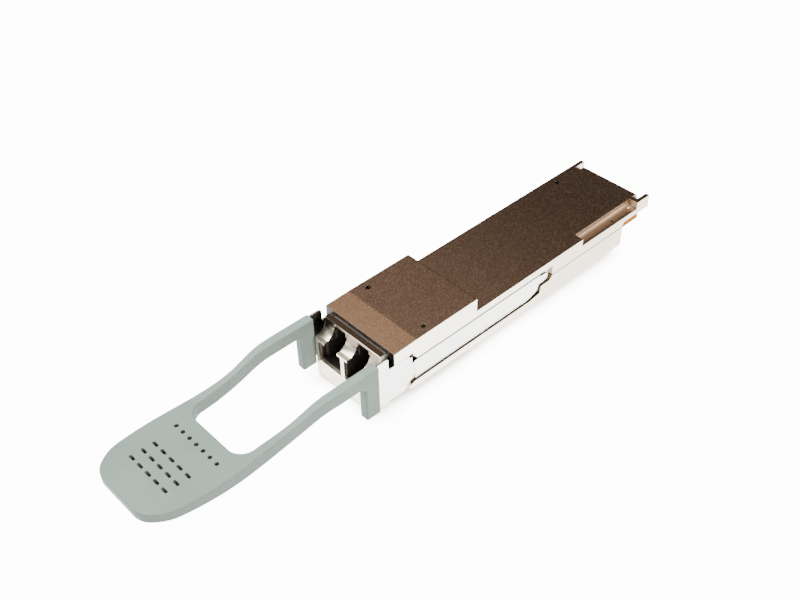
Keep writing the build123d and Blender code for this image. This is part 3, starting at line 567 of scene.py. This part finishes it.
for name, piece in cad.items():
    piece.data.materials.clear()
    piece.data.materials.append(FINISHES[SLOT_OF[name]])
    if name in EDGE_WIDTH:
        weld = piece.modifiers.new("weld", "WELD")
        weld.merge_threshold = WELD_DISTANCE
        bevel = piece.modifiers.new("bevel", "BEVEL")
        bevel.width = EDGE_WIDTH[name]
        bevel.segments = 3
        bevel.limit_method = "ANGLE"
        bevel.angle_limit = SHARPEST_SMOOTH
        bevel.use_clamp_overlap = True
        bevel.harden_normals = True
        bevel.miter_outer = "MITER_ARC"

# the return springs shorten between their fixed front ends and the slider's lugs, so each gets a mesh of its
# own
for name in ("left_return_spring", "right_return_spring"):
    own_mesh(cad[name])

# ---------------------------------------------------------------- stage
FLOOR_HALF = 3.0
corners = [(-FLOOR_HALF, -FLOOR_HALF, 0), (FLOOR_HALF, -FLOOR_HALF, 0)]
corners += [(FLOOR_HALF, FLOOR_HALF, 0), (-FLOOR_HALF, FLOOR_HALF, 0)]
floor_mesh = bpy.data.meshes.new("floor")
floor_mesh.from_pydata(corners, [], [(0, 1, 2, 3)])
floor = bpy.data.objects.new("floor", floor_mesh)
bpy.context.scene.collection.objects.link(floor)
floor.data.materials.append(stage_white("floor_white"))

# ---------------------------------------------------------------- an even pale room with an unlit wall
ROOM_COLOUR = (1.0, 0.975, 0.94, 1)
ROOM_LOW = 2.0  # strength at the horizon and overhead
ROOM_HIGH = 0.75
ROOM_FADE = (0.0, 0.45)
WALL_WAY = (-0.74, 0.67, 0.0)
WALL_FADE = (0.15, 0.7)  # the wall's edge, along WALL_WAY
WALL_TOP = (0.95, 0.55)  # its upper end, from the way's height
WALL_DARK = 0.93
MATTE_SHARE = 0.6  # of the room's light that diffuse surfaces get

world = bpy.data.worlds.new("studio")
bpy.context.scene.world = world
world.use_nodes = True
room = Tree(world.node_tree)
way = room.nodes.new("ShaderNodeTexCoord").outputs["Generated"]
height = room.axes(way)["Z"]
wall = room.all_of(room.span(room.dot(way, WALL_WAY), *WALL_FADE), room.span(height, *WALL_TOP), WALL_DARK)
diffuse_ray = room.nodes.new("ShaderNodeLightPath").outputs["Is Diffuse Ray"]
strength = room.all_of(
    room.span(height, *ROOM_FADE, ROOM_LOW, ROOM_HIGH),
    room.math("SUBTRACT", 1.0, wall),
    room.math("SUBTRACT", 1.0, room.math("MULTIPLY", diffuse_ray, 1.0 - MATTE_SHARE)),
)
background = room.nodes["Background"]
background.inputs["Color"].default_value = ROOM_COLOUR
room.wire(strength, background.inputs["Strength"])


# ---------------------------------------------------------------- lamps and camera
def toward(azimuth, elevation):
    """Unit vector at an azimuth from -Y towards +X and an elevation, both in degrees."""
    a, e = math.radians(azimuth), math.radians(elevation)
    return Vector((math.sin(a) * math.cos(e), -math.cos(a) * math.cos(e), math.sin(e)))


def place(name, data, location, rotation):
    holder = bpy.data.objects.new(name, data)
    holder.location = location
    holder.rotation_mode = "QUATERNION"
    holder.rotation_quaternion = rotation
    bpy.context.scene.collection.objects.link(holder)
    return holder


def softbox(name, azimuth, elevation, distance, size, power):
    """A square area light aimed at the middle of the object."""
    lamp = bpy.data.lights.new(name, "AREA")
    lamp.shape = "SQUARE"
    lamp.size = size
    lamp.energy = power
    away = toward(azimuth, elevation)
    place(name, lamp, away * distance, away.to_track_quat("Z", "Y"))


softbox("key", azimuth=-40, elevation=62, distance=0.6, size=0.5, power=9.0)
softbox("fill", azimuth=95, elevation=40, distance=0.6, size=0.45, power=4.0)

LENS = 48.454
SENSOR = 36
CAMERA_PLACE = Vector((109.2226, -100.5596, 143.5678)) * MM
CAMERA_AZIMUTH = 47.7114
CAMERA_ELEVATION = 41.2135
CAMERA_ROLL = -1.4149
camera_data = bpy.data.cameras.new("camera")
camera_data.lens = LENS
camera_data.sensor_width = SENSOR
camera_data.clip_start = 5 * MM
camera_data.clip_end = 20
upright = toward(CAMERA_AZIMUTH, CAMERA_ELEVATION).to_track_quat("Z", "Y")
roll = Matrix.Rotation(math.radians(CAMERA_ROLL), 3, "Z").to_quaternion()
bpy.context.scene.camera = place("camera", camera_data, CAMERA_PLACE, upright @ roll)
